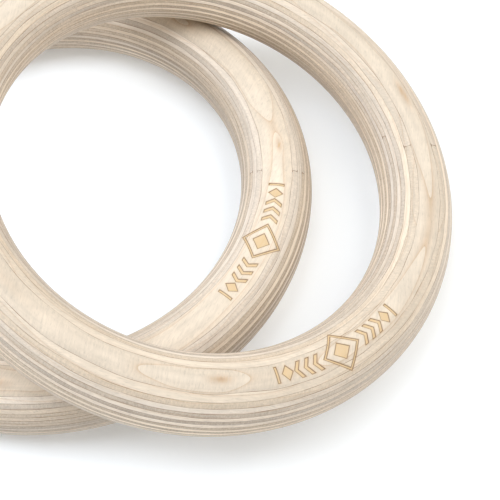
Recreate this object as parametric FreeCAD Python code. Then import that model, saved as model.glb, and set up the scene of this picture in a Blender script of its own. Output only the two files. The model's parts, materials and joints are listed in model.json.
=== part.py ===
import FreeCAD, Part

import math
import os

# Gymnastics rings: a pair of plain rings turned from laminated birch plywood.
# The lower ring lies flat on the floor. The upper ring leans over it, with its
# far side on the floor. Every veneer of both rings is a solid of its own.
# Millimetres, +Z up, origin on the floor at the middle of the pair's outline.

# Driving dimensions
TUBE_DIAMETER = 32.0      # thickness of the grip, 1 1/4 inch
OUTSIDE_DIAMETER = 235.0  # across one ring
PLY_THICKNESS = 1.39      # one birch veneer with its glue film
THINNEST_PLY = 0.4        # a face veneer thinner than this is turned away

# The blank is turned off centre in the veneer stack by this much, along the ring's axis
LOWER_STACK_SHIFT = 0.0
UPPER_STACK_SHIFT = 0.6

# Veneers laid as two halves: ply number from the top, and the angle of its butt joint
LOWER_BUTT_JOINTS = {2: 6.8, 4: 7.2}
UPPER_BUTT_JOINTS = {2: 18.8, 6: 24.4, 12: 12.9}

# Pose of the pair at rest
LEAN_OFFSET = 66.3        # upper ring's centre beyond the lower ring's, along +X
REST_CLEARANCE = 0.3      # between the two tubes where they cross

# Derived sizes
TUBE_RADIUS = TUBE_DIAMETER / 2
RING_RADIUS = (OUTSIDE_DIAMETER - TUBE_DIAMETER) / 2

UP = FreeCAD.Vector(0, 0, 1)
ALONG_Y = FreeCAD.Vector(0, 1, 0)
CENTRE = FreeCAD.Vector(0, 0, 0)
FULL_TURN = 360.0
HALF_TURN = 180.0


def tube_gap(tilt):
    """Gap between the tubes when the upper ring tilts this far with its low side on the floor."""
    steps = 3600
    nearest = float("inf")
    for step in range(steps):
        angle = math.pi * step / steps
        x = LEAN_OFFSET + RING_RADIUS * math.cos(angle) * math.cos(tilt)
        y = RING_RADIUS * math.sin(angle)
        rise = RING_RADIUS * math.sin(tilt) * (1 - math.cos(angle))
        nearest = min(nearest, math.hypot(math.hypot(x, y) - RING_RADIUS, rise))
    return nearest - TUBE_DIAMETER


def rest_tilt():
    """Tilt at which the upper ring rests on the lower one and on the floor, in radians."""
    low, high = math.radians(2), math.radians(40)
    for halving in range(40):
        middle = (low + high) / 2
        if tube_gap(middle) < REST_CLEARANCE:
            low = middle
        else:
            high = middle
    return high


def ply_cuts(stack_shift):
    """Heights of the glue lines and of both faces of one ring, from the top down."""
    glue_lines = []
    count = math.ceil(TUBE_DIAMETER / PLY_THICKNESS)
    for number in range(-count, count):
        height = stack_shift + (number + 0.5) * PLY_THICKNESS
        if abs(height) < TUBE_RADIUS - THINNEST_PLY:
            glue_lines.append(height)
    return [TUBE_RADIUS] + sorted(glue_lines, reverse=True) + [-TUBE_RADIUS]


def tube_point(height, side):
    """Point of the round section at this height, on its outer side (+1) or inner side (-1)."""
    half_width = math.sqrt(max(TUBE_RADIUS**2 - height**2, 0.0))
    return FreeCAD.Vector(RING_RADIUS + side * half_width, 0, height)


def round_side(bottom, top, side):
    """Arc of the section between two heights, on one side of the tube."""
    middle = tube_point((bottom + top) / 2, side)
    return Part.Arc(tube_point(bottom, side), middle, tube_point(top, side)).toShape()


def flat_side(height):
    """Straight glue face of the section at one height."""
    return Part.LineSegment(tube_point(height, -1), tube_point(height, 1)).toShape()


def ply_section(bottom, top):
    """Section of one veneer: part of the tube's circle between two heights."""
    edges = []
    if bottom > -TUBE_RADIUS:
        edges.append(flat_side(bottom))
    if top < TUBE_RADIUS:
        edges.append(flat_side(top))
    edges.append(round_side(bottom, top, 1))
    edges.append(round_side(bottom, top, -1))
    return Part.Face(Part.Wire(Part.sortEdges(edges)[0]))


def swept(section, start, sweep):
    """Solid swept by a section around the ring's axis, from a start angle."""
    solid = section.revolve(CENTRE, UP, sweep)
    solid.rotate(CENTRE, UP, start)
    return solid


def ring_plies(name, stack_shift, butt_joints):
    """All veneers of one ring about its own centre, as a dictionary from node name to solid."""
    plies = {}
    cuts = ply_cuts(stack_shift)
    for number in range(1, len(cuts)):
        section = ply_section(cuts[number], cuts[number - 1])
        node = f"{name}_ply_{number:02d}"
        if number in butt_joints:
            joint = butt_joints[number]
            plies[f"{node}_rear_half"] = swept(section, joint, HALF_TURN)
            plies[f"{node}_front_half"] = swept(section, joint + HALF_TURN, HALF_TURN)
        else:
            plies[node] = swept(section, 0.0, FULL_TURN)
    return plies


def place(plies, centre, tilt):
    """Tilts a ring about the Y axis, then moves its centre into place."""
    for solid in plies.values():
        solid.rotate(CENTRE, ALONG_Y, math.degrees(tilt))
        solid.translate(centre)


def build_pair():
    """Both rings in their rest pose."""
    tilt = rest_tilt()
    lower_x = (RING_RADIUS * (1 - math.cos(tilt)) - LEAN_OFFSET) / 2
    upper_z = TUBE_RADIUS + RING_RADIUS * math.sin(tilt)
    lower = ring_plies("lower_ring", LOWER_STACK_SHIFT, LOWER_BUTT_JOINTS)
    upper = ring_plies("upper_ring", UPPER_STACK_SHIFT, UPPER_BUTT_JOINTS)
    place(lower, FreeCAD.Vector(lower_x, 0, TUBE_RADIUS), 0.0)
    place(upper, FreeCAD.Vector(lower_x + LEAN_OFFSET, 0, upper_z), tilt)
    return {**lower, **upper}


os.makedirs("parts", exist_ok=True)
for node_name, ply in build_pair().items():
    ply.exportStep(f"parts/{node_name}.step")
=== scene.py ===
import json
import math

import bpy
import numpy as np
from mathutils import Matrix, Vector


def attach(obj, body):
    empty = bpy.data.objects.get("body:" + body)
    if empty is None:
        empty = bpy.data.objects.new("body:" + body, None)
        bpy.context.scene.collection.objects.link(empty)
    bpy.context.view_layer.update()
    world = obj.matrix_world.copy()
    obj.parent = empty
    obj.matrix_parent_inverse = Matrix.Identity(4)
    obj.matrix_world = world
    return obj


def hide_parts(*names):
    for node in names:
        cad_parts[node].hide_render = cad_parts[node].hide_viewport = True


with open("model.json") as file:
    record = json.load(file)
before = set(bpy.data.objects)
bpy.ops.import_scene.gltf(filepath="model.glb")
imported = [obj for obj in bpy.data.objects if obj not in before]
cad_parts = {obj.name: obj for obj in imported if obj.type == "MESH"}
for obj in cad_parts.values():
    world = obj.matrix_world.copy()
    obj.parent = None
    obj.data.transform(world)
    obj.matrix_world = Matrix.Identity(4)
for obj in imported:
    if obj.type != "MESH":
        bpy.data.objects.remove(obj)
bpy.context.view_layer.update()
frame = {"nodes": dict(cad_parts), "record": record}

# Two wooden gymnastics rings of laminated birch. Every veneer is a mesh of its own, swept around
# its ring and carved with the small grooves, waves and burned ornament that the plain solids lack.
# Lengths are in metres, except in the ornament and the wood material, which work in millimetres.

MM = 0.001
FULL_TURN = 2 * math.pi
RIGHT_ANGLE = math.pi / 2

# Mesh spacing
COLUMN_STEP = math.radians(1.0)   # around a ring
ROW_STEP = 0.35 * MM              # across a veneer's edge
FINE_STEP = 0.2 * MM              # where the ornament is burned
SHARP_ANGLE = math.radians(60)    # edges bent further than this are drawn sharp

# Extra rows and columns close to an edge, in groove widths from it
EDGE_ROWS = (0.0, 0.35, 1.0)
END_COLUMNS = (0.0, 0.35, 1.0, 3.0, 5.0, 8.0, 12.0)

# Surface detail
GROOVE_DEPTH = 0.05 * MM          # of the fine groove along each glue line
GROOVE_WIDTH = 0.12 * MM          # from the glue line to the untouched surface
BUTT_GAP = 0.12 * MM              # between the two halves of a veneer laid in two pieces
BLOT = 0.35 * MM                  # half height of the glue blot at each corner of such a joint
BLOT_STRETCH = 2                  # how much longer than high a blot is
GLUE_WAVE = 0.045 * MM            # how far each wave moves a glue line off its plane
GLUE_WAVELENGTHS = (0.055, 0.031, 0.017)

# Burned ornament: a band of lozenges and chevrons on the crown. Its parts are in mm from its middle,
# and a size is a half length along the ring and a half width across it.
MARK_DEPTH = 0.25 * MM
MARK_WALL = 0.3 * MM              # width of its sloping wall
MARK_HALF_LENGTH = 32.5 * MM
MARK_HALF_WIDTH = 9.0 * MM
MARKED_PLIES = 3                  # the veneers that the band crosses, counted from the top
FAR_FROM_MARK = 5.0               # distance in mm stored where there is no ornament
FRAME_SIZE = (8.4, 7.9)           # the open lozenge in the middle
FRAME_STROKE = 0.84
CORE_SIZE = (4.0, 3.7)            # the filled lozenge inside it
CHEVRON_PLACES = (12.0, 16.2, 20.4)
CHEVRON_HALF_WIDTH = 3.4
CHEVRON_STROKE = 1.35
CHEVRON_SLANT = 0.62
END_LOZENGE_PLACE = 25.2
END_LOZENGE_SIZE = (2.3, 3.1)
END_BAR_PLACE = 29.6
END_BAR_SIZE = (0.5, 3.3)

# Each ring's random seed, and the ring angles of its crosswise grain and of its ornament
RINGS = {
    "lower_ring": {"seed": 100, "grain": math.radians(-17), "mark": math.radians(-14.7)},
    "upper_ring": {"seed": 200, "grain": math.radians(2), "mark": math.radians(-48.0)},
}

# Small knots on the crown: angle in degrees, place across in mm, half length and half width in mm
EYES = {
    "lower_ring": [(-90.0, 1.7, 7.5, 2.4), (14.0, 1.5, 3.5, 1.3)],
    "upper_ring": [(-77.5, -0.5, 4.4, 1.7), (34.0, 2.0, 6.0, 1.8)],
}

# Piece of tree that each face veneer is cut from, chosen for its arched growth figure
CROWN_SEED = {("lower_ring", 1): 4.5, ("upper_ring", 1): 0.5}

# How pale or dark each veneer is, where it stands out from its neighbours
TONES = {
    "lower_ring": {
        1: 0.98, 2: 1.10, 4: 1.04, 5: 1.03, 6: 0.97, 7: 1.10, 8: 0.90, 9: 0.95, 10: 0.93, 11: 0.93,
    },
    "upper_ring": {
        1: 0.88, 2: 0.95, 5: 0.94, 6: 1.06, 7: 0.95, 8: 1.10, 9: 1.06, 10: 1.12, 11: 1.04, 12: 1.14, 13: 1.10,
    },
}


# ---------------------------------------------------------------- ring frames

class Ring:
    """A ring's own frame, read from the mounts at its front grip and its rear strap seat."""

    def __init__(self, name):
        mounts = {mount["name"]: mount for mount in frame["record"]["mounts"]}
        grip = mounts[f"{name}_grip"]
        front = np.array(grip["pos_m"])
        back = np.array(mounts[f"{name}_strap_seat"]["pos_m"])
        self.name = name
        self.seed = RINGS[name]["seed"]
        self.grain = RINGS[name]["grain"]
        self.mark_angle = RINGS[name]["mark"]
        self.centre = (front + back) / 2
        self.radius = np.linalg.norm(back - front) / 2
        self.tube = grip["dims"]["r_mm"] * MM
        across = np.array(grip["axis"], float)
        across /= np.linalg.norm(across)
        forward = (back - front) / np.linalg.norm(back - front)
        self.axes = np.stack([across, forward, np.cross(across, forward)])

    def to_local(self, points):
        return (points - self.centre) @ self.axes.T

    def to_world(self, points):
        return points @ self.axes + self.centre

    def surface(self, turn, around, inset=0.0):
        """Points on the tube. turn goes round the ring, around goes round the tube from its outer side."""
        reach = self.radius + (self.tube - inset) * np.cos(around)
        height = (self.tube - inset) * np.sin(around)
        return np.stack([reach * np.cos(turn), reach * np.sin(turn), height], axis=-1)


def node_points(node):
    """Vertices of a CAD node as an array."""
    mesh = frame["nodes"][node].data
    points = np.zeros(len(mesh.vertices) * 3)
    mesh.vertices.foreach_get("co", points)
    return points.reshape(-1, 3)


class Ply:
    """Where one veneer lies in its ring: its heights, and the part of a turn that it covers."""

    def __init__(self, ring, node):
        local = ring.to_local(node_points(node))
        self.ring = ring
        self.node = node
        self.number = int(node.split("_ply_")[1][:2])
        self.low = local[:, 2].min()
        self.high = local[:, 2].max()
        self.is_top = self.high > ring.tube - GROOVE_WIDTH
        self.is_bottom = self.low < -ring.tube + GROOVE_WIDTH
        angles = np.sort(np.arctan2(local[:, 1], local[:, 0]) % FULL_TURN)
        gaps = np.diff(np.append(angles, angles[0] + FULL_TURN))
        widest = gaps.argmax()
        self.is_half = gaps[widest] > RIGHT_ANGLE
        self.start = angles[(widest + 1) % len(angles)] if self.is_half else ring.mark_angle - math.pi
        self.sweep = FULL_TURN - gaps[widest] if self.is_half else FULL_TURN
        self.is_marked = self.number <= MARKED_PLIES
        self.seed = ring.seed + 2 * self.number + ("front" in node)
        self.is_crosswise = self.number % 2 == 0

    def grain_angle(self):
        """Direction of its fibres in the ring's plane, from the ring's own X."""
        return self.ring.grain if self.is_crosswise else self.ring.grain + RIGHT_ANGLE


# ---------------------------------------------------------------- burned ornament

def lozenge(u, v, half_length, half_width):
    """Signed distance to a lozenge, below zero inside."""
    share = np.abs(u) / half_length + np.abs(v) / half_width - 1
    return share * half_length * half_width / math.hypot(half_length, half_width)


def bar(u, v, half_length, half_width):
    """Signed distance to an upright bar."""
    return np.maximum(np.abs(u) - half_length, np.abs(v) - half_width)


def chevron(u, v):
    """Signed distance to a chevron that points along +u."""
    along = np.abs(u + CHEVRON_SLANT * (np.abs(v) - CHEVRON_HALF_WIDTH / 2)) / math.hypot(1, CHEVRON_SLANT)
    return np.maximum(along - CHEVRON_STROKE / 2, np.abs(v) - CHEVRON_HALF_WIDTH)


def ornament(u, v):
    """Signed distance in mm to the burned band, which is the same to both sides of its middle."""
    u = np.abs(u)
    shapes = [
        np.abs(lozenge(u, v, *FRAME_SIZE)) - FRAME_STROKE / 2,
        lozenge(u, v, *CORE_SIZE),
        lozenge(u - END_LOZENGE_PLACE, v, *END_LOZENGE_SIZE),
        bar(u - END_BAR_PLACE, v, *END_BAR_SIZE),
    ]
    for place in CHEVRON_PLACES:
        shapes.append(chevron(u - place, v))
    return np.min(shapes, axis=0)


def mark_distance(ring, turn, around):
    """Signed distance in mm to the ornament at a point of the tube. It is burned straight down."""
    along = (turn - ring.mark_angle + math.pi) % FULL_TURN - math.pi
    u = along * ring.radius / MM
    v = ring.tube * np.cos(around) / MM
    distance = np.minimum(ornament(u, v), FAR_FROM_MARK)
    beyond = (np.abs(u) > MARK_HALF_LENGTH / MM) | (np.abs(v) > MARK_HALF_WIDTH / MM)
    below = np.sin(around) < 0
    return np.where(beyond | below, FAR_FROM_MARK, distance)


# ---------------------------------------------------------------- veneer meshes

def smooth_step(value):
    """An even slope from 0 to 1, rounded at both ends."""
    value = np.clip(value, 0, 1)
    return value * value * (3 - 2 * value)


def glue_wave(ring, boundary, turn, reach):
    """How far a glue line strays from its plane: the veneers are never quite flat."""
    random = np.random.default_rng(ring.seed + boundary)
    x = reach * np.cos(turn)
    y = reach * np.sin(turn)
    stray = 0.0
    for wavelength in GLUE_WAVELENGTHS:
        heading = random.uniform(0, FULL_TURN)
        phase = random.uniform(0, FULL_TURN)
        along = x * math.cos(heading) + y * math.sin(heading)
        stray = stray + GLUE_WAVE * np.sin(FULL_TURN * along / wavelength + phase)
    return stray


def spaced(length, step, ends):
    """Positions from 0 to length, with extra ones close to both ends for the groove there."""
    close = np.array(ends) * GROOVE_WIDTH
    count = max(2, round((length - 2 * close[-1]) / step))
    inner = np.linspace(close[-1], length - close[-1], count + 1)[1:-1]
    return np.concatenate([close, inner, length - close[::-1]])


def columns(ply):
    """Angles of a veneer's sections, closer together where the ornament is."""
    ring = ply.ring
    if ply.is_half:
        gap = BUTT_GAP / 2 / ring.radius
        length = (ply.sweep - 2 * gap) * ring.radius
        places = spaced(length, COLUMN_STEP * ring.radius, END_COLUMNS)
        angles = ply.start + gap + places / ring.radius
    else:
        angles = ply.start + np.arange(0, FULL_TURN, COLUMN_STEP)
    if not ply.is_marked:
        return angles
    half = MARK_HALF_LENGTH / ring.radius
    middle = (ring.mark_angle - ply.start) % FULL_TURN + ply.start
    if ply.is_half and middle > ply.start + ply.sweep:
        return angles
    outside = angles[np.abs(angles - middle) > half]
    fine = np.arange(middle - half, middle + half, FINE_STEP / ring.radius)
    return np.sort(np.concatenate([outside, fine]))


def edge_angle(ply, boundary, height, turn, side):
    """Angle around the tube at which a glue line meets its surface, on its outer (1) or inner (-1) side."""
    ring = ply.ring
    reach = ring.radius + side * math.sqrt(ring.tube**2 - height**2)
    wavy = height + glue_wave(ring, boundary, turn, reach)
    around = np.arcsin(wavy / ring.tube)
    return around if side > 0 else math.pi - around


def arc_rows(first, last, tube, step):
    """Angles from one glue line to the next, a row for each section, and how far each is from the ends."""
    length = abs(np.mean(last - first)) * tube
    places = spaced(length, step, EDGE_ROWS)
    share = places / length
    around = first[:, None] + (last - first)[:, None] * share
    return around, np.broadcast_to(np.minimum(places, length - places), around.shape)


def veneer_arcs(ply, turn):
    """The curved sides of a veneer's section. A face veneer has one, over the crown or under the foot."""
    ring = ply.ring
    step = FINE_STEP if ply.is_marked else ROW_STEP
    if not ply.is_bottom:
        low_out = edge_angle(ply, ply.number, ply.low, turn, 1)
        low_in = edge_angle(ply, ply.number, ply.low, turn, -1)
    if not ply.is_top:
        high_out = edge_angle(ply, ply.number - 1, ply.high, turn, 1)
        high_in = edge_angle(ply, ply.number - 1, ply.high, turn, -1)
    if ply.is_top:
        return [arc_rows(low_out, low_in, ring.tube, step)]
    if ply.is_bottom:
        return [arc_rows(high_in, high_out + FULL_TURN, ring.tube, step)]
    outer = arc_rows(low_out, high_out, ring.tube, step)
    inner = arc_rows(high_in, low_in, ring.tube, step)
    return [outer, inner]


def sweep_mesh(name, points, closed):
    """Mesh of a loop of points swept through sections, closed into a ring or capped at both ends."""
    count, loop = points.shape[:2]
    index = np.arange(count * loop).reshape(count, loop)
    after = np.roll(index, -1, axis=0)
    if not closed:
        index, after = index[:-1], after[:-1]
    quads = np.stack(
        [index, after, np.roll(after, -1, axis=1), np.roll(index, -1, axis=1)], axis=-1
    ).reshape(-1, 4)
    faces = quads.tolist()
    if not closed:
        faces.append(list(range(loop)))
        faces.append(list(range(count * loop - 1, (count - 1) * loop - 1, -1)))
    mesh = bpy.data.meshes.new(name)
    mesh.from_pydata(points.reshape(-1, 3), [], faces)
    mesh.shade_smooth()
    mesh.set_sharp_from_angle(angle=SHARP_ANGLE)
    return mesh


def store(mesh, name, values, kind="FLOAT"):
    """Keeps one value per vertex in the mesh, for the material to read."""
    field = "vector" if kind == "FLOAT_VECTOR" else "value"
    attribute = mesh.attributes.new(name, kind, "POINT")
    attribute.data.foreach_set(field, np.ascontiguousarray(values, np.float32).ravel())


def eye_strength(ply, turn, around):
    """How much of a knot there is at a point of the crown, from 0 to 1."""
    strength = np.zeros(around.shape)
    if not ply.is_top:
        return strength
    ring = ply.ring
    for angle, across, half_length, half_width in EYES[ring.name]:
        along = (turn - math.radians(angle) + math.pi) % FULL_TURN - math.pi
        u = along * ring.radius / MM / half_length
        v = (ring.tube * np.cos(around) / MM - across) / half_width
        strength += np.exp(-u**2 - v**2)
    return strength


def build_veneer(ply):
    """A veneer's detailed mesh, with what its material needs to know about each point."""
    ring = ply.ring
    turn = columns(ply)
    arcs = veneer_arcs(ply, turn)
    around = np.concatenate([arc[0] for arc in arcs], axis=1)
    from_edge = np.concatenate([arc[1] for arc in arcs], axis=1)
    turns = np.broadcast_to(turn[:, None], around.shape)
    from_glue = from_edge
    if ply.is_half:
        from_end = np.minimum(turn - turn[0], turn[-1] - turn)[:, None] * ring.radius
        from_blot = np.maximum(np.hypot(from_end / BLOT_STRETCH, from_edge) - BLOT, 0)
        from_edge = np.minimum(from_edge, from_end)
        from_glue = np.minimum(from_edge, from_blot)
    groove = GROOVE_DEPTH * (1 - smooth_step(from_edge / GROOVE_WIDTH))
    points = ring.surface(turns, around, groove)
    mark = mark_distance(ring, turns, around)
    points[..., 2] -= MARK_DEPTH * smooth_step(-mark * MM / MARK_WALL + 0.5)
    end_grain = np.abs(np.cos(around) * np.cos(turns - ply.grain_angle()))
    mesh = sweep_mesh(ply.node, ring.to_world(points), not ply.is_half)
    store(mesh, "ring_space", points / MM, "FLOAT_VECTOR")
    store(mesh, "glue_distance", from_glue / MM)
    store(mesh, "end_grain", end_grain)
    store(mesh, "mark_distance", mark)
    store(mesh, "eye", eye_strength(ply, turns, around))
    return mesh


# ---------------------------------------------------------------- node helpers

def add_node(tree, kind, inputs=None, **settings):
    """A node with its settings, and its inputs set to values or linked to sockets."""
    made = tree.nodes.new(kind)
    for key, value in settings.items():
        setattr(made, key, value)
    for key, value in (inputs or {}).items():
        if isinstance(value, bpy.types.NodeSocket):
            tree.links.new(value, made.inputs[key])
        else:
            made.inputs[key].default_value = value
    return made


def calculate(tree, operation, *values):
    """Result of a math node."""
    return add_node(tree, "ShaderNodeMath", dict(enumerate(values)), operation=operation).outputs[0]


def remap(tree, value, low, high, to_low=0.0, to_high=1.0):
    """A value mapped smoothly from one range to another."""
    ends = {"Value": value, "From Min": low, "From Max": high, "To Min": to_low, "To Max": to_high}
    return add_node(tree, "ShaderNodeMapRange", ends, interpolation_type="SMOOTHSTEP").outputs[0]


def blend_colour(tree, factor, first, second, mode="MIX"):
    """Two colours mixed by a factor."""
    inputs = {0: factor, 6: first, 7: second}
    return add_node(tree, "ShaderNodeMix", inputs, data_type="RGBA", blend_type=mode).outputs[2]


def read_attribute(tree, name, output="Fac"):
    """What the mesh stores under a name."""
    return add_node(tree, "ShaderNodeAttribute", attribute_name=name).outputs[output]


def stretched_noise(tree, place, size, detail, roughness):
    """Noise whose grains have this size in mm along each axis, from 0 to 1."""
    scale = tuple(1 / length for length in size)
    scaled = add_node(tree, "ShaderNodeVectorMath", {0: place, 1: scale}, operation="MULTIPLY").outputs[0]
    inputs = {"Vector": scaled, "Scale": 1.0, "Detail": detail, "Roughness": roughness}
    return add_node(tree, "ShaderNodeTexNoise", inputs).outputs["Fac"]


def linear(red, green, blue):
    """A colour given as it is seen on screen, 0 to 255, in the renderer's linear values."""
    def channel(value):
        share = value / 255
        return share / 12.92 if share <= 0.04045 else ((share + 0.055) / 1.055) ** 2.4
    return (channel(red), channel(green), channel(blue), 1.0)


# ---------------------------------------------------------------- wood

# Colours of the wood seen along its side and on its end, of its growth lines, glue and burns
SIDE_GRAIN = linear(223, 210, 193)
END_GRAIN = linear(179, 163, 144)
GROWTH_LINE = linear(214, 178, 132)
GLUE = linear(120, 86, 56)
BURN_EDGE = linear(110, 74, 34)
BURN_FILL = linear(208, 179, 134)
BURN_HALO = linear(245, 228, 200)

# Grain of each texture in mm along, across and up, then its detail and its roughness
TEXTURES = {
    "swell": ((90.0, 32.0, 40.0), 0.6, 0.5),
    "fibre": ((9.0, 0.9, 0.8), 3.0, 0.65),
    "pore": ((2.6, 0.4, 0.4), 1.0, 0.5),
    "ray": ((1.2, 0.8, 1.2), 2.0, 0.7),
    "curl": ((3.5, 12.0, 9.0), 2.0, 0.5),
    "patch": ((60.0, 14.0, 2.2), 2.0, 0.5),
    "layer": ((40.0, 30.0, 0.35), 3.0, 0.6),
    "film": ((16.0, 16.0, 0.8), 3.0, 0.7),
}

# How far each of these carries the wood from its darkest to its lightest
SHADING = {"fibre": 0.30, "curl": 0.14, "patch": 0.20, "layer": 0.36}
PORE_SHADE = -0.12                # pores are dark
RAY_SHADE = 0.85                  # rays speckle the end grain only

TREE_STEP = (173.0, 91.0)         # mm along and across the tree for each whole number of seed
SWELL_HEIGHT = 4.0                # mm that the growth rings rise and fall in a veneer
EYE_HEIGHT = 0.8                  # mm that a knot lifts them
EYE_SHADE = 1.2                   # how strongly a knot browns the wood
LATE_LINE = (26.0, 0.6)           # power and strength of a growth ring's dark line
LATE_BAND = (5.0, 0.3)            # and of the soft band that leads up to it
LATE_SHADE = 0.6                  # how strongly both colour the wood
PORE_RANGE = (0.42, 0.28)         # noise values where a pore starts, and where it is full
FILM_RANGE = (0.36, 0.66)         # noise values where the glue film is thinnest and thickest
THINNEST_FILM = 0.2
FILM_WIDTH = (0.18, 0.02)         # mm from a glue line where its film fades out, and where it is full
HALO_WIDTH = (0.9, 0.1)           # the same for the halo around the ornament's outline
HALO_STRENGTH = 0.4
FILL_WIDTH = (0.12, -0.12)        # the same for its burned floor
OUTLINE_WIDTH = (0.28, 0.05)      # the same for its dark outline
RELIEF_HEIGHT = 0.03 * MM         # of the fibres and pores on the surface
RING_WIDTHS = (1.3, 1.9)          # mm between growth rings, narrowest and widest
WARMTH = 0.02                     # how far a veneer's colour may stray to warm or cool


def birch_group():
    """Node group of a birch veneer: its colour, roughness and relief from its place in the ring."""
    tree = bpy.data.node_groups.new("birch_veneer", "ShaderNodeTree")
    for name in ("Grain Angle", "Seed", "Ring Width"):
        tree.interface.new_socket(name, in_out="INPUT", socket_type="NodeSocketFloat")
    tree.interface.new_socket("Tint", in_out="INPUT", socket_type="NodeSocketColor")
    tree.interface.new_socket("Colour", in_out="OUTPUT", socket_type="NodeSocketColor")
    tree.interface.new_socket("Roughness", in_out="OUTPUT", socket_type="NodeSocketFloat")
    tree.interface.new_socket("Relief", in_out="OUTPUT", socket_type="NodeSocketFloat")
    given = tree.nodes.new("NodeGroupInput").outputs

    # Place along the grain, across it and up, from a different spot of the tree for each veneer
    place = read_attribute(tree, "ring_space", "Vector")
    back_turn = calculate(tree, "MULTIPLY", given["Grain Angle"], -1.0)
    turned = add_node(
        tree, "ShaderNodeVectorRotate", {"Vector": place, "Angle": back_turn}, rotation_type="Z_AXIS"
    ).outputs[0]
    steps = [calculate(tree, "MULTIPLY", given["Seed"], step) for step in TREE_STEP]
    shift = add_node(tree, "ShaderNodeCombineXYZ", {0: steps[0], 1: steps[1]}).outputs[0]
    spot = add_node(tree, "ShaderNodeVectorMath", {0: turned, 1: shift}, operation="ADD").outputs[0]
    height = add_node(tree, "ShaderNodeSeparateXYZ", {0: place}).outputs["Z"]
    texture = {name: stretched_noise(tree, spot, *grain) for name, grain in TEXTURES.items()}
    fibre = texture["fibre"]
    end_grain = read_attribute(tree, "end_grain")

    # Growth rings lie almost flat in a peeled veneer, so they show as contour lines
    eye = read_attribute(tree, "eye")
    swell = calculate(tree, "MULTIPLY_ADD", texture["swell"], SWELL_HEIGHT, height)
    swell = calculate(tree, "MULTIPLY_ADD", eye, EYE_HEIGHT, swell)
    age = calculate(tree, "ADD", calculate(tree, "DIVIDE", swell, given["Ring Width"]), given["Seed"])
    season = calculate(tree, "FRACT", age)
    late = 0.0
    for power, strength in (LATE_LINE, LATE_BAND):
        late = calculate(tree, "MULTIPLY_ADD", calculate(tree, "POWER", season, power), strength, late)
    growth = calculate(tree, "MULTIPLY", late, LATE_SHADE)
    knot = calculate(tree, "MULTIPLY", eye, calculate(tree, "MULTIPLY", fibre, EYE_SHADE))
    colour = blend_colour(tree, end_grain, SIDE_GRAIN, END_GRAIN)
    colour = blend_colour(tree, growth, colour, GROWTH_LINE, "MULTIPLY")
    colour = blend_colour(tree, knot, colour, GROWTH_LINE, "MULTIPLY")

    # Fibres and soft bands, pores, and rays where the end grain shows
    light = 1.0
    for name, strength in SHADING.items():
        shade = calculate(tree, "MULTIPLY_ADD", texture[name], strength, 1 - strength / 2)
        light = calculate(tree, "MULTIPLY", light, shade)
    pore = remap(tree, texture["pore"], *PORE_RANGE)
    light = calculate(tree, "MULTIPLY", light, calculate(tree, "MULTIPLY_ADD", pore, PORE_SHADE, 1.0))
    ray = calculate(tree, "MULTIPLY", end_grain, calculate(tree, "SUBTRACT", texture["ray"], 0.5))
    light = calculate(tree, "MULTIPLY", light, calculate(tree, "MULTIPLY_ADD", ray, RAY_SHADE, 1.0))
    colour = blend_colour(tree, 1.0, colour, given["Tint"], "MULTIPLY")
    colour = add_node(tree, "ShaderNodeVectorMath", {0: colour, "Scale": light}, operation="SCALE").outputs[0]

    # Dark glue film, thicker in some places than in others
    film = remap(tree, read_attribute(tree, "glue_distance"), *FILM_WIDTH)
    film = calculate(tree, "MULTIPLY", film, remap(tree, texture["film"], *FILM_RANGE, THINNEST_FILM))
    colour = blend_colour(tree, film, colour, GLUE)

    # Burned ornament: a halo, a brown floor and a dark outline, burned more where the fibres are
    mark = read_attribute(tree, "mark_distance")
    scorch = calculate(tree, "MULTIPLY_ADD", fibre, 0.9, 0.32)
    halo = remap(tree, mark, *HALO_WIDTH, 0.0, HALO_STRENGTH)
    fill = calculate(tree, "MULTIPLY", remap(tree, mark, *FILL_WIDTH), scorch)
    outline = remap(tree, calculate(tree, "ABSOLUTE", mark), *OUTLINE_WIDTH)
    outline = calculate(tree, "MULTIPLY", outline, scorch)
    colour = blend_colour(tree, halo, colour, BURN_HALO, "MULTIPLY")
    colour = blend_colour(tree, fill, colour, BURN_FILL)
    colour = blend_colour(tree, outline, colour, BURN_EDGE)

    roughness = calculate(tree, "MULTIPLY_ADD", fibre, -0.15, 0.60)
    relief = calculate(tree, "MULTIPLY_ADD", pore, -0.8, fibre)
    relief = calculate(tree, "MULTIPLY_ADD", ray, 0.6, relief)
    given_back = tree.nodes.new("NodeGroupOutput").inputs
    tree.links.new(colour, given_back["Colour"])
    tree.links.new(roughness, given_back["Roughness"])
    tree.links.new(relief, given_back["Relief"])
    return tree


def birch_material(ply, group):
    """Birch for one veneer, with its own grain direction, piece of tree and tone."""
    random = np.random.default_rng(ply.seed)
    seed = random.uniform(0, 10)
    ring_width = random.uniform(*RING_WIDTHS)
    warmth = random.uniform(-WARMTH, WARMTH)
    tone = TONES[ply.ring.name].get(ply.number, 1.0)
    material = bpy.data.materials.new(f"birch_{ply.node}")
    material.use_nodes = True
    tree = material.node_tree
    tree.nodes.clear()
    wood = add_node(tree, "ShaderNodeGroup", node_tree=group)
    wood.inputs["Grain Angle"].default_value = ply.grain_angle()
    wood.inputs["Seed"].default_value = CROWN_SEED.get((ply.ring.name, ply.number), seed)
    wood.inputs["Ring Width"].default_value = ring_width
    wood.inputs["Tint"].default_value = (tone * (1 + warmth), tone, tone * (1 - 2 * warmth), 1.0)
    bump = add_node(
        tree, "ShaderNodeBump",
        {"Height": wood.outputs["Relief"], "Distance": RELIEF_HEIGHT, "Strength": 0.6},
    )
    shader = add_node(
        tree, "ShaderNodeBsdfPrincipled",
        {
            "Base Color": wood.outputs["Colour"],
            "Roughness": wood.outputs["Roughness"],
            "Normal": bump.outputs[0],
            "Specular IOR Level": 0.5,
        },
    )
    output = tree.nodes.new("ShaderNodeOutputMaterial")
    tree.links.new(shader.outputs[0], output.inputs["Surface"])
    return material


# ---------------------------------------------------------------- build the rings

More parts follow.
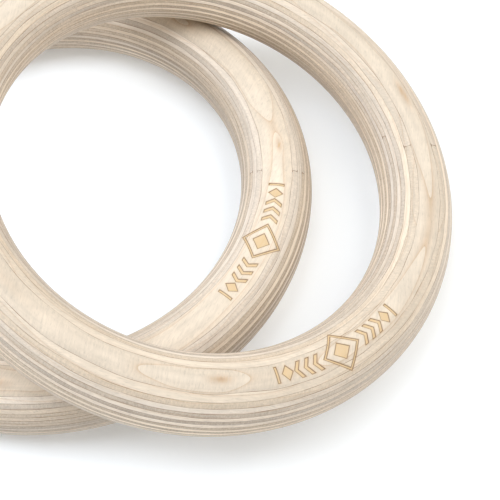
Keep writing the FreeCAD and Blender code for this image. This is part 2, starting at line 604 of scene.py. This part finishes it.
def build_ring(name, group):
    """Every veneer of one ring, riding on the ring's body in place of its CAD node."""
    ring = Ring(name)
    for node in frame["record"]["behaviour"]["bodies"][name]:
        ply = Ply(ring, node)
        mesh = build_veneer(ply)
        mesh.materials.append(birch_material(ply, group))
        piece = bpy.data.objects.new(f"{node}_veneer", mesh)
        bpy.context.scene.collection.objects.link(piece)
        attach(piece, name)
        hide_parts(node)


# ---------------------------------------------------------------- floor, light and camera

FLOOR_SIZE = 12.0
FLOOR_COLOUR = (0.83, 0.86, 0.885, 1.0)
# The floor's own glow is painted light: faint near the rings, where it lightens the shadows they cast on it,
# and strong further out.
FLOOR_GLOW = 0.17         # near the rings
FAR_GLOW = 1.1            # where the floor runs off into the white backdrop
GLOW_REACH = (0.35, 1.3)  # distances from the middle between which one turns into the other
BACKDROP_GLOW = 1.0       # the surround at and below eye level
CEILING_GLOW = 0.04
BACKDROP_TOP = (0.06, 0.22)   # sines of the elevations between which the backdrop ends

# Soft boxes all round: azimuth from +X and elevation in degrees, power in watts, colour
SOFTBOX_DISTANCE = 1.3
SOFTBOX_SIZE = 0.8
WHITE = (1.0, 1.0, 1.0)
COOL = (0.95, 1.0, 1.07)
WARM = (1.05, 1.0, 0.91)
SOFTBOXES = {
    "left_middle": (180, 40, 10.8, COOL),
    "left_high": (180, 72, 6.2, COOL),
    "left_back_low": (135, 22, 3.4, COOL),
    "left_front_low": (225, 22, 1.4, COOL),
    "right_high": (0, 58, 7.0, WHITE),
    "right_low": (0, 22, 1.0, WHITE),
    "right_back": (60, 40, 3.0, WARM),
    "right_back_low": (45, 22, 1.4, WARM),
    "right_front": (315, 35, 2.9, WARM),
    "top": (90, 85, 1.5, WHITE),
}


def build_floor():
    """A white floor under the rings. It glows of itself, which is painted light: faintly near the rings,
    where the glow lightens their shadows, and strongly further out, where it whitens the floor into the
    backdrop.
    """
    half = FLOOR_SIZE / 2
    corners = [(-half, -half, 0), (half, -half, 0), (half, half, 0), (-half, half, 0)]
    mesh = bpy.data.meshes.new("floor")
    mesh.from_pydata(corners, [], [(0, 1, 2, 3)])
    material = bpy.data.materials.new("floor_glowing_white")
    material.use_nodes = True
    tree = material.node_tree
    shader = tree.nodes["Principled BSDF"]
    place = tree.nodes.new("ShaderNodeTexCoord").outputs["Object"]
    away = add_node(tree, "ShaderNodeVectorMath", {0: place}, operation="LENGTH").outputs["Value"]
    # Painted light: the floor's glow is faint near the rings, lightening their shadows, and stronger further
    # out
    glow = remap(tree, away, *GLOW_REACH, FLOOR_GLOW, FAR_GLOW)
    tree.links.new(glow, shader.inputs["Emission Strength"])
    shader.inputs["Base Color"].default_value = FLOOR_COLOUR
    shader.inputs["Roughness"].default_value = 0.9
    shader.inputs["Specular IOR Level"].default_value = 0.1
    shader.inputs["Emission Color"].default_value = (1.0, 1.0, 1.0, 1.0)
    mesh.materials.append(material)
    floor = bpy.data.objects.new("floor", mesh)
    bpy.context.scene.collection.objects.link(floor)


def build_light(name, azimuth, elevation, power, colour):
    """A square soft box that faces the rings."""
    turn, rise = math.radians(azimuth), math.radians(elevation)
    data = bpy.data.lights.new(name, "AREA")
    data.shape = "SQUARE"
    data.size = SOFTBOX_SIZE
    data.energy = power
    data.color = colour
    light = bpy.data.objects.new(name, data)
    bpy.context.scene.collection.objects.link(light)
    place = Vector((math.cos(turn) * math.cos(rise), math.sin(turn) * math.cos(rise), math.sin(rise)))
    light.location = place * SOFTBOX_DISTANCE
    light.rotation_euler = place.to_track_quat("Z", "Y").to_euler()


def build_world():
    """A white backdrop all round, under a dim ceiling."""
    world = bpy.data.worlds.new("studio")
    world.use_nodes = True
    tree = world.node_tree
    direction = tree.nodes.new("ShaderNodeTexCoord").outputs["Generated"]
    height = add_node(tree, "ShaderNodeSeparateXYZ", {0: direction}).outputs["Z"]
    strength = remap(tree, height, *BACKDROP_TOP, BACKDROP_GLOW, CEILING_GLOW)
    background = tree.nodes["Background"]
    background.inputs["Color"].default_value = (1.0, 1.0, 1.0, 1.0)
    tree.links.new(strength, background.inputs["Strength"])
    bpy.context.scene.world = world


# Camera, looking down over the right front of the pair
CAMERA_AIM = Vector((0.0605, -0.0126, 0.0))
CAMERA_AZIMUTH = math.radians(6.82)
CAMERA_ELEVATION = math.radians(60.34)
CAMERA_DISTANCE = 0.4833
CAMERA_LENS = 76.35       # millimetres, on a 36 mm sensor
CAMERA_ROLL = math.radians(0.55)


def build_camera():
    """The camera at the photograph's viewing angle."""
    back = Vector((
        math.sin(CAMERA_AZIMUTH) * math.cos(CAMERA_ELEVATION),
        -math.cos(CAMERA_AZIMUTH) * math.cos(CAMERA_ELEVATION),
        math.sin(CAMERA_ELEVATION),
    ))
    data = bpy.data.cameras.new("camera")
    data.sensor_width = 36.0
    data.lens = CAMERA_LENS
    data.clip_start = 0.01
    data.clip_end = 50.0
    camera = bpy.data.objects.new("camera", data)
    level = (-back).to_track_quat("-Z", "Y").to_matrix().to_4x4()
    place = Matrix.Translation(CAMERA_AIM + back * CAMERA_DISTANCE)
    camera.matrix_world = place @ level @ Matrix.Rotation(CAMERA_ROLL, 4, "Z")
    bpy.context.scene.collection.objects.link(camera)
    bpy.context.scene.camera = camera


birch = birch_group()
for ring_name in RINGS:
    build_ring(ring_name, birch)
build_floor()
build_world()
for softbox_name, softbox in SOFTBOXES.items():
    build_light(softbox_name, *softbox)
build_camera()
bpy.context.scene.view_settings.view_transform = "Standard"
